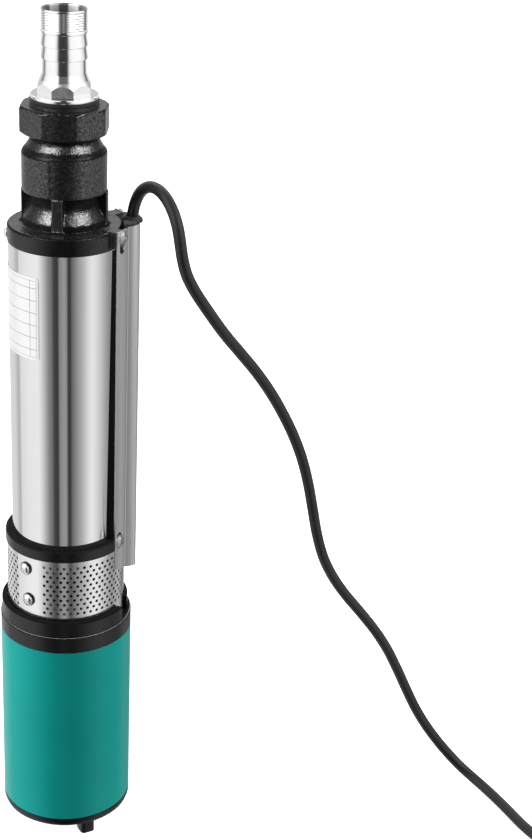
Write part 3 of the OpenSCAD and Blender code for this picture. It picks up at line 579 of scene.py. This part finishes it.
def seam():
    """The bright edge of the shim between the motor's top cap and the suction bracket."""
    bm = bmesh.new()
    prof = [(46.4, 177.05), (47.45, 177.05), (47.55, 177.12), (47.55, 177.32), (47.45, 177.4), (46.4, 177.4)]
    n = 160
    rings = [[Vector((r * MM * math.cos(2 * math.pi * j / n), r * MM * math.sin(2 * math.pi * j / n), z * MM)) for j in range(n)] for r, z in prof]
    skin(bm, rings, closed=True)
    return piece("seam_shim", to_mesh("seam_shim", bm), "pump_frame", [], "steel", m_steel("dull_shim", (0.4, 0.4, 0.41), (0.4, 0.55)))


seam()


def guard_seal_shade_strips():
    """Near-black rubber strips that close the gap between the guard's two edges and the casing; their foot on the
    casing, widest at the bottom, stands in for the guard's dark reflection and shade there (painted shade).
    """
    bm = bmesh.new()
    for sgn in (1, -1):
        rings = []
        for z in np.linspace(246.6, 463.3, 9):
            foot = 47.6 + 6.6 * (z - 246.6) / 216.7
            ring = []
            for r, t in ((38.6, 56.2), (38.56, 56.0), (38.56, foot), (38.75, foot - 0.25), (41.0, 0.5 * foot + 26.15), (43.2, 52.4), (43.46, 52.6), (43.46, 56.0), (43.2, 56.3), (41.0, 56.25)):
                a = math.radians(t if sgn > 0 else 180 - t)
                ring.append(Vector((r * MM * math.sin(a), -r * MM * math.cos(a), z * MM)))
            rings.append(ring)
        skin(bm, rings, start_cap=True, end_cap=True)
        for t0, t1, ra, z0, z1 in ((52.4, 56.2, 41.3, 463.4, 464.9), (56.5, 63.2, 42.4, 459.6, 464.9), (56.5, 63.2, 42.4, 246.7, 251.6)):
            rings = []
            for z in (z0, z0 + 0.3, z1 - 0.3, z1):
                d = 0.2 if z in (z0, z1) else 0.0
                ring = []
                for r, t in [(ra + d, t0 + (t1 - t0) * k / 6) for k in range(7)] + [(43.46 - d, t1 - (t1 - t0) * k / 6) for k in range(7)]:
                    a = math.radians(t if sgn > 0 else 180 - t)
                    ring.append(Vector((r * MM * math.sin(a), -r * MM * math.cos(a), z * MM)))
                rings.append(ring)
            skin(bm, rings, start_cap=True, end_cap=True)
    return piece("guard_seal_shade_strips", to_mesh("guard_seal_shade_strips", bm), "pump_frame", [], "rubber_black", m_rubber("seal_shade_rubber", 0.0012, 0.0024, (0.5, 0.65), 700, 0.1, 0.15))


# the guard, its seals and the cable stay out of the mirror of the casing; the seals' near-black foot stands in for the
# guard's reflection there
seal_shade_strips = guard_seal_shade_strips()
for o in (seal_shade_strips, pan, cable, N["cable_guard"]):
    o.visible_glossy = False


def head_casting():
    """The CAD head with the softened edges and the uneven skin of a sand casting."""
    me = N["discharge_head"].data.copy()
    me.materials.clear()
    o = link(bpy.data.objects.new("head_tmp", me))
    re = o.modifiers.new("voxels", "REMESH")
    re.mode = "VOXEL"
    re.voxel_size = 0.0006
    sm = o.modifiers.new("soften", "SMOOTH")
    sm.factor = 0.5
    sm.iterations = 4
    dg = bpy.context.evaluated_depsgraph_get()
    new = bpy.data.meshes.new_from_object(o.evaluated_get(dg))
    bpy.data.objects.remove(o)
    bpy.data.meshes.remove(me)
    new.name = "head_casting"
    co = np.empty(len(new.vertices) * 3)
    no = np.empty(len(new.vertices) * 3)
    new.vertices.foreach_get("co", co)
    new.vertices.foreach_get("normal", no)
    co, no = co.reshape(-1, 3), no.reshape(-1, 3)
    r = np.hypot(co[:, 0], co[:, 1])
    outer = (r > 0.0215) & (co[:, 2] > 0.4636) & ((r < 0.0382) | (co[:, 2] > 0.4752))
    for i in np.nonzero(outer)[0]:
        p = Vector(co[i])
        d = 0.10 * mnoise.noise(p * 240) + 0.07 * mnoise.noise(p * 560 + Vector((3, 7, 1))) + 0.04 * mnoise.noise(p * 1000)
        co[i] += no[i] * d * MM
    new.vertices.foreach_set("co", co.ravel())
    new.update()
    return piece("head_casting", new, "pump_frame", ["discharge_head"], SPEC["discharge_head"])


head = head_casting()


def grommet():
    """Rubber plug cut by hand: a thin lip with a torn edge over the end of the guard, and a low collar round the cable."""
    cx, n = 45.0, 168
    prof_n = 12
    rings = [[] for _ in range(prof_n)]
    for j in range(n):
        a = 2 * math.pi * j / n
        dx, dy = math.cos(a), math.sin(a)

        def reach(ok):
            lo, hi = 3.0, 30.0
            for _ in range(40):
                mid = (lo + hi) / 2
                if ok(cx + dx * mid, dy * mid):
                    lo = mid
                else:
                    hi = mid
            return lo

        lip = reach(lambda x, y: (x - 37) ** 2 + y * y < 15.4 ** 2 and x > 39.2)
        chan = reach(lambda x, y: (x - 36.5) ** 2 + y * y < 13.4 ** 2 and x * x + y * y > 40.3 ** 2 and x > 38.6)
        q = Vector((dx * 3.2, dy * 3.2, 0.3))
        rag = 0.75 * mnoise.noise(q * 2.1) + 0.55 * mnoise.noise(q * 5.3 + Vector((9, 2, 4)))
        lip += rag - 0.15
        dz = 0.45 * mnoise.noise(q * 3.1 + Vector((1, 5, 8)))
        r0 = 4.03
        pr = [(r0, 480.6 + 0.3 * dz), (r0 + 0.9, 480.9 + 0.4 * dz), (r0 + 1.7, 480.2 + 0.4 * dz), (r0 + 2.3, 479.3 + 0.3 * dz),
              (r0 + 0.6 * (lip - r0), 478.9 + 0.5 * dz), (lip - 0.8, 478.9 + dz), (lip - 0.1, 478.4 + dz), (lip, 477.8 + 0.7 * dz), (lip - 0.3, 477.2 + 0.2 * dz),
              (min(chan, lip - 0.5), 477.02), (chan, 467.2), (r0, 467.2)]
        for k, (rr, z) in enumerate(pr):
            rings[k].append(Vector(((cx + dx * rr) * MM, dy * rr * MM, z * MM)))
    bm = bmesh.new()
    skin(bm, rings, closed=True)
    return piece("cut_grommet", to_mesh("cut_grommet", bm), "pump_frame", ["cable_grommet"], SPEC["cable_grommet"])


grommet()


def plate():
    """A blank film plate bent round the casing, with rounded corners."""
    t0, t1, z0, z1, rc = -100.0, -27.0, 388.0, 447.0, 2.4
    r0, r1 = 38.5, 38.78
    nu, nv = 64, 24
    w = math.radians(t1 - t0) * r1

    def inset(v):
        d = min(v - z0, z1 - v)
        return 0.0 if d >= rc else rc - math.sqrt(max(rc * rc - (rc - d) ** 2, 0.0))

    zs = [z0 + 0.02, z0 + 0.15, z0 + 0.5, z0 + 1.1, z0 + 1.8] + [z0 + rc + (z1 - z0 - 2 * rc) * i / nv for i in range(nv + 1)] + [z1 - 1.8, z1 - 1.1, z1 - 0.5, z1 - 0.15, z1 - 0.02]
    bm = bmesh.new()
    grids = []
    for r, shrink in ((r0, 0.0), (r1 - 0.06, 0.0), (r1, 0.08)):
        g = []
        for z in zs:
            s = inset(z) + shrink
            zz = z + (shrink if z < z0 + 0.3 else -shrink if z > z1 - 0.3 else 0)
            row = []
            for i in range(nu + 1):
                a = math.radians(t0) + (s + (w - 2 * s) * i / nu) / r1
                row.append(bm.verts.new((r * MM * math.sin(a), -r * MM * math.cos(a), zz * MM)))
            g.append(row)
        grids.append(g)

    def edge(g):
        return [row[0] for row in g] + g[-1][1:-1] + [row[-1] for row in g[::-1]] + g[0][-2:0:-1]

    for g in (grids[0], grids[2]):
        for a, b in zip(g, g[1:]):
            for i in range(nu):
                bm.faces.new((a[i], a[i + 1], b[i + 1], b[i]))
    for ga, gb in ((grids[0], grids[1]), (grids[1], grids[2])):
        ea, eb = edge(ga), edge(gb)
        for i in range(len(ea)):
            j = (i + 1) % len(ea)
            bm.faces.new((ea[i], ea[j], eb[j], eb[i]))
    for row in [v for g in (grids[1],) for r_ in g[1:-1] for v in r_[1:-1]]:
        bm.verts.remove(row)
    m = Mat("white_film_ruled").set(color=(0.84, 0.84, 0.84), rough=0.3, spec=0.5)
    sep = m.node("ShaderNodeSeparateXYZ")
    m.wire(m.tc.outputs["Object"], sep.inputs[0])
    az = m.math("ARCTAN2", sep.outputs["X"], m.math("MULTIPLY", sep.outputs["Y"], -1.0))
    row = m.math("LESS_THAN", m.math("ABSOLUTE", m.math("SUBTRACT", m.math("FRACT", m.math("MULTIPLY", m.math("SUBTRACT", sep.outputs["Z"], 0.3912), 1 / 0.0088)), 0.5)), 0.024)
    band = m.math("MULTIPLY", m.math("LESS_THAN", m.math("ABSOLUTE", m.math("SUBTRACT", az, math.radians(-64.0))), math.radians(34.5)),
                  m.math("LESS_THAN", m.math("ABSOLUTE", m.math("SUBTRACT", sep.outputs["Z"], 0.4175)), 0.0275))
    inner = m.math("MULTIPLY", m.math("LESS_THAN", m.math("ABSOLUTE", m.math("SUBTRACT", az, math.radians(-64.0))), math.radians(34.1)),
                   m.math("LESS_THAN", m.math("ABSOLUTE", m.math("SUBTRACT", sep.outputs["Z"], 0.4175)), 0.02725))
    col = m.math("LESS_THAN", m.math("ABSOLUTE", m.math("SUBTRACT", az, math.radians(-37.5))), math.radians(0.28))
    lines = m.math("MAXIMUM", m.math("SUBTRACT", band, inner), m.math("MULTIPLY", band, m.math("MAXIMUM", row, col)))
    film_and_shade = m.ramp(m.noise(120, 3), [(0.3, (0.42, 0.42, 0.424)), (0.7, (0.45, 0.45, 0.45))])
    # painted shade: the film is darker over the left part of the plate and lightens towards its right end
    film_and_shade = m.mix(m.rng(az, math.radians(-62), math.radians(-32), 0.0, 1.0), film_and_shade, (0.61, 0.61, 0.612))
    m.color(m.mix(lines, film_and_shade, (0.2, 0.2, 0.205)))
    m.roughness(m.rng(m.noise(400, 2), 0.25, 0.75, 0.26, 0.36))
    return piece("ruled_plate", to_mesh("ruled_plate", bm), "pump_frame", ["rating_plate"], SPEC["rating_plate"], m.m)


plate()

# plug on the far end: axis along -Y
PLUG = Matrix.Translation((0.404, 0.0, 0.046)) @ Matrix.Rotation(math.radians(90), 4, "X")


def plug():
    bm = bmesh.new()
    prof = [(4.1, -8.0), (4.6, -7.6)]
    for k in range(6):
        z = -7.0 + k * 3.6
        r = 4.75 + 0.44 * k
        prof += [(r + 0.25, z), (r + 0.45, z + 0.4), (r + 0.45, z + 1.9), (r + 0.2, z + 2.3), (r - 0.55, z + 2.5), (r - 0.5, z + 3.3)]
    prof += [(7.4, 14.8), (7.5, 15.3), (7.4, 16.0)]
    turned(bm, [(r * MM, z * MM) for r, z in prof], PLUG)
    a = piece("plug_strain_relief", to_mesh("plug_strain_relief", bm), "pump_frame", ["plug_relief"], SPEC["plug_relief"])
    bm = bmesh.new()
    prof = [(7.6, 16.0), (9.2, 16.1), (10.3, 16.6), (10.9, 17.4), (11.1, 18.4)]
    for k in range(3):
        z, r = 19.0 + k * 3.2, 11.3 + 0.55 * k
        prof += [(r, z), (r + 0.1, z + 0.3), (r - 0.45, z + 0.8), (r - 0.45, z + 1.5), (r + 0.3, z + 2.0), (r + 0.5, z + 2.6)]
    prof += [(13.3, 29.4), (13.6, 30.2), (13.6, 36.6), (13.4, 37.3), (12.8, 37.8), (12.2, 38.0), (10.9, 38.0), (10.7, 37.6), (10.2, 37.5)]
    turned(bm, [(r * MM, z * MM) for r, z in prof], PLUG, 64)
    b = piece("plug_shell", to_mesh("plug_shell", bm), "pump_frame", ["plug_body"], SPEC["plug_body"])
    bm = bmesh.new()
    for sx in (-7, 7):
        prof = [(2.4, 37.2), (2.4, 55.0), (2.3, 56.0), (1.9, 56.7), (1.1, 57.0)]
        turned(bm, [(r * MM, z * MM) for r, z in prof], PLUG @ Matrix.Translation((sx * MM, 0, 0)), 32)
    c = piece("plug_round_pins", to_mesh("plug_round_pins", bm), "pump_frame", ["plug_pins"], SPEC["plug_pins"])
    return [a, b, c]


def ties():
    """Three straps over the coil, with rounded corners."""
    bm = bmesh.new()
    for ang in (0, 125, 240):
        M = Matrix.Translation((COIL_C[0] * MM, COIL_C[1] * MM, 0)) @ Matrix.Rotation(math.radians(ang), 4, "Z") @ Matrix.Translation((0.071, 0, 0))
        path = [(-20.1, 0.4), (-20.1, 14.0)]
        for k in range(9):
            f = math.radians(180 - k * 90 / 8)
            path.append((-16.0 + 4.1 * math.cos(f), 28.0 + 4.1 * math.sin(f)))
        for k in range(9):
            f = math.radians(90 - k * 90 / 8)
            path.append((16.0 + 4.1 * math.cos(f), 28.0 + 4.1 * math.sin(f)))
        path += [(20.1, 14.0), (20.1, 0.4)]
        rings = []
        for i, (x, z) in enumerate(path):
            a, b = path[max(i - 1, 0)], path[min(i + 1, len(path) - 1)]
            tx, tz = b[0] - a[0], b[1] - a[1]
            L = math.hypot(tx, tz)
            nx, nz = -tz / L, tx / L
            ring = []
            for y, o in ((-3.8, 0.0), (-4.0, 0.3), (-4.0, 0.75), (-3.7, 1.05), (-1.2, 1.1), (1.2, 1.1), (3.7, 1.05), (4.0, 0.75), (4.0, 0.3), (3.8, 0.0)):
                ring.append(M @ Vector(((x + nx * o) * MM, y * MM, (z + nz * o) * MM)))
            rings.append(ring)
        skin(bm, rings, start_cap=True, end_cap=True)
    return piece("coil_straps", to_mesh("coil_straps", bm), "pump_frame", ["coil_ties"], SPEC["coil_ties"])


FAR_PIECES = plug() + [ties()]


def spring():
    """Valve spring with closed, flattened ends."""
    bm = bmesh.new()
    k, n, turns = 260, 14, 5.0
    rings = []
    pts = []
    for i in range(k + 1):
        u = i / k
        e = 0.11
        if u < e:
            z = 0.0
        elif u > 1 - e:
            z = 1.0
        else:
            z = smooth((u - e) / (1 - 2 * e)) * 0.35 + 0.65 * (u - e) / (1 - 2 * e)
        a = 2 * math.pi * turns * u
        pts.append(Vector((7.0 * math.cos(a), 7.0 * math.sin(a), 506.3 + 16.4 * z + 0.25 * math.sin(math.pi * u))))
    for i, p in enumerate(pts):
        t = (pts[min(i + 1, k)] - pts[max(i - 1, 0)]).normalized()
        side = Vector((p.x, p.y, 0)).normalized()
        upv = t.cross(side).normalized()
        rings.append([(p + 0.8 * (math.cos(2 * math.pi * j / n) * side + math.sin(2 * math.pi * j / n) * upv)) * MM for j in range(n)])
    skin(bm, rings, start_cap=True, end_cap=True)
    o = piece("valve_coil_spring", to_mesh("valve_coil_spring", bm, 60), "pump_frame", ["valve_spring"], SPEC["valve_spring"])
    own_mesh(o)
    return o


spring()


# ------------------------------------------------------------------ studio
def plane(name, size, loc):
    me = bpy.data.meshes.new(name)
    s = size / 2
    me.from_pydata([(-s, -s, 0), (s, -s, 0), (s, s, 0), (-s, s, 0)], [], [(0, 1, 2, 3)])
    o = link(bpy.data.objects.new(name, me))
    o.location = loc
    return o


floor = plane("floor", 40, (0, 0, 0))
fm = Mat("floor_white").set(color=(0.9, 0.9, 0.9), rough=0.9, spec=0.1)
fm.b.inputs["Emission Color"].default_value = (1, 1, 1, 1)
fm.b.inputs["Emission Strength"].default_value = 0.85
floor.data.materials.append(fm.m)
floor.visible_glossy = floor.visible_diffuse = False

# Softboxes and dark flags all round, as bands on a large dome that only reflections see:
# azimuth 0 is the front of the pump, positive towards the cable.
LOW = [(-180, 0.8), (-130, 0.82), (-117, 0.6), (-111, 0.55), (-106, 0.88), (-85, 0.96), (-58, 1.05), (-50, 0.82), (-41, 0.5),
       (-34, 0.28), (-27.5, 0.2), (-24.5, 0.08), (-15, 0.045), (-12, 0.28), (-3, 0.38), (2.5, 0.32), (5, 0.06), (10.5, 0.05), (13, 0.15),
       (36, 0.54), (50, 0.9), (58, 1.0), (68, 0.86), (92, 0.44), (104, 0.3), (112, 0.4), (120, 0.52), (130, 0.52), (139, 0.3), (147, 0.22), (180, 0.8)]
HIGH = [(-180, 0.62), (-150, 0.9), (-133, 0.6), (-127, 0.3), (-117, 0.3), (-110, 0.8), (-95, 1.1), (-50, 1.15), (-38, 0.95), (-31, 0.35), (-25, 0.06),
        (-5, 0.045), (9, 0.055), (16, 0.12), (23, 0.75), (33, 1.1), (80, 1.15), (105, 0.9), (117, 0.5), (123, 0.15), (131, 0.15), (139, 0.7), (155, 0.9),
        (180, 0.62)]


BOXES = [(-180, 0.5), (-110, 0.6), (-84, 1.0), (-36, 1.0), (-26, 0.1), (26, 0.1), (36, 1.0), (84, 1.0), (110, 0.6), (180, 0.5)]


def dome():
    bm = bmesh.new()
    bmesh.ops.create_uvsphere(bm, u_segments=64, v_segments=32, radius=6.0)
    me = bpy.data.meshes.new("studio_dome")
    bm.to_mesh(me)
    bm.free()
    o = link(bpy.data.objects.new("studio_dome", me))
    o.location = (0, 0, 0.3)
    m = Mat("studio_bands")
    sep = m.node("ShaderNodeSeparateXYZ")
    m.wire(m.tc.outputs["Object"], sep.inputs[0])
    az = m.math("ARCTAN2", sep.outputs["X"], m.math("MULTIPLY", sep.outputs["Y"], -1.0))
    fac = m.rng(az, -math.pi, math.pi, 0.0, 1.0)
    low = m.ramp(fac, [((d + 180) / 360, (v, v, v)) for d, v in LOW])
    high = m.ramp(fac, [((d + 180) / 360, (v, v, v)) for d, v in HIGH])
    col = m.mix(m.rng(sep.outputs["Z"], -1.75, -1.45, 0.0, 1.0), low, high)
    em = m.node("ShaderNodeEmission")
    m.wire(col, em.inputs["Color"])
    em.inputs["Strength"].default_value = 1.0
    sides = m.ramp(fac, [((d + 180) / 360, (v, v, v)) for d, v in BOXES])
    lift = m.math("MULTIPLY", m.rng(sep.outputs["Z"], 2.0, 2.6, 0.0, 1.0), m.rng(sep.outputs["Z"], 4.6, 5.2, 1.0, 0.0))
    box = m.node("ShaderNodeEmission")
    m.wire(sides, box.inputs["Color"])
    m.wire(m.math("MULTIPLY", lift, 1.1), box.inputs["Strength"])
    both = m.node("ShaderNodeAddShader")
    m.wire(em.outputs[0], both.inputs[0])
    m.wire(box.outputs[0], both.inputs[1])
    m.wire(both.outputs[0], m.t.nodes["Material Output"].inputs["Surface"])
    m.m.cycles.emission_sampling = "NONE"
    me.materials.append(m.m)
    o.visible_camera = o.visible_diffuse = o.visible_shadow = o.visible_transmission = o.visible_volume_scatter = False
    return o


dome()

world = bpy.data.worlds.new("studio")
scene.world = world
world.use_nodes = True
world.node_tree.nodes["Background"].inputs["Color"].default_value = (1, 1, 1, 1)
world.node_tree.nodes["Background"].inputs["Strength"].default_value = 0.5


def area(name, loc, target, size, power, glossy=False):
    li = bpy.data.lights.new(name, "AREA")
    li.shape = "RECTANGLE"
    li.size, li.size_y = size
    li.energy = power
    o = link(bpy.data.objects.new(name, li))
    o.location = loc
    d = Vector(target) - Vector(loc)
    o.rotation_euler = d.to_track_quat("-Z", "Y").to_euler()
    o.visible_glossy = glossy
    return o


area("key", (-1.75, -0.2, 0.75), (0, 0, 0.3), (0.8, 1.4), 58)
area("fill", (1.62, -0.22, 0.75), (0, 0, 0.3), (0.8, 1.4), 30)
area("top", (0.1, 0.3, 2.2), (0.1, 0, 0.2), (1.6, 1.6), 12)

# softboxes above the head, left and right, for the highlights of the casting only
lit = bpy.data.collections.new("head_lit")
lit.objects.link(head)
for name, az, width, power in (("box_left", -52.0, 1.45, 270), ("box_right", 57.0, 1.35, 225)):
    el, dist = math.radians(36.0), 2.2
    a = math.radians(az)
    c = Vector((0, 0, 0.5))
    spot = c + dist * Vector((math.cos(el) * math.sin(a), -math.cos(el) * math.cos(a), math.sin(el)))
    o = area(name, spot, c, (width, 0.72), power, glossy=True)
    o.visible_diffuse = False
    o.light_linking.receiver_collection = lit

bpy.context.view_layer.update()
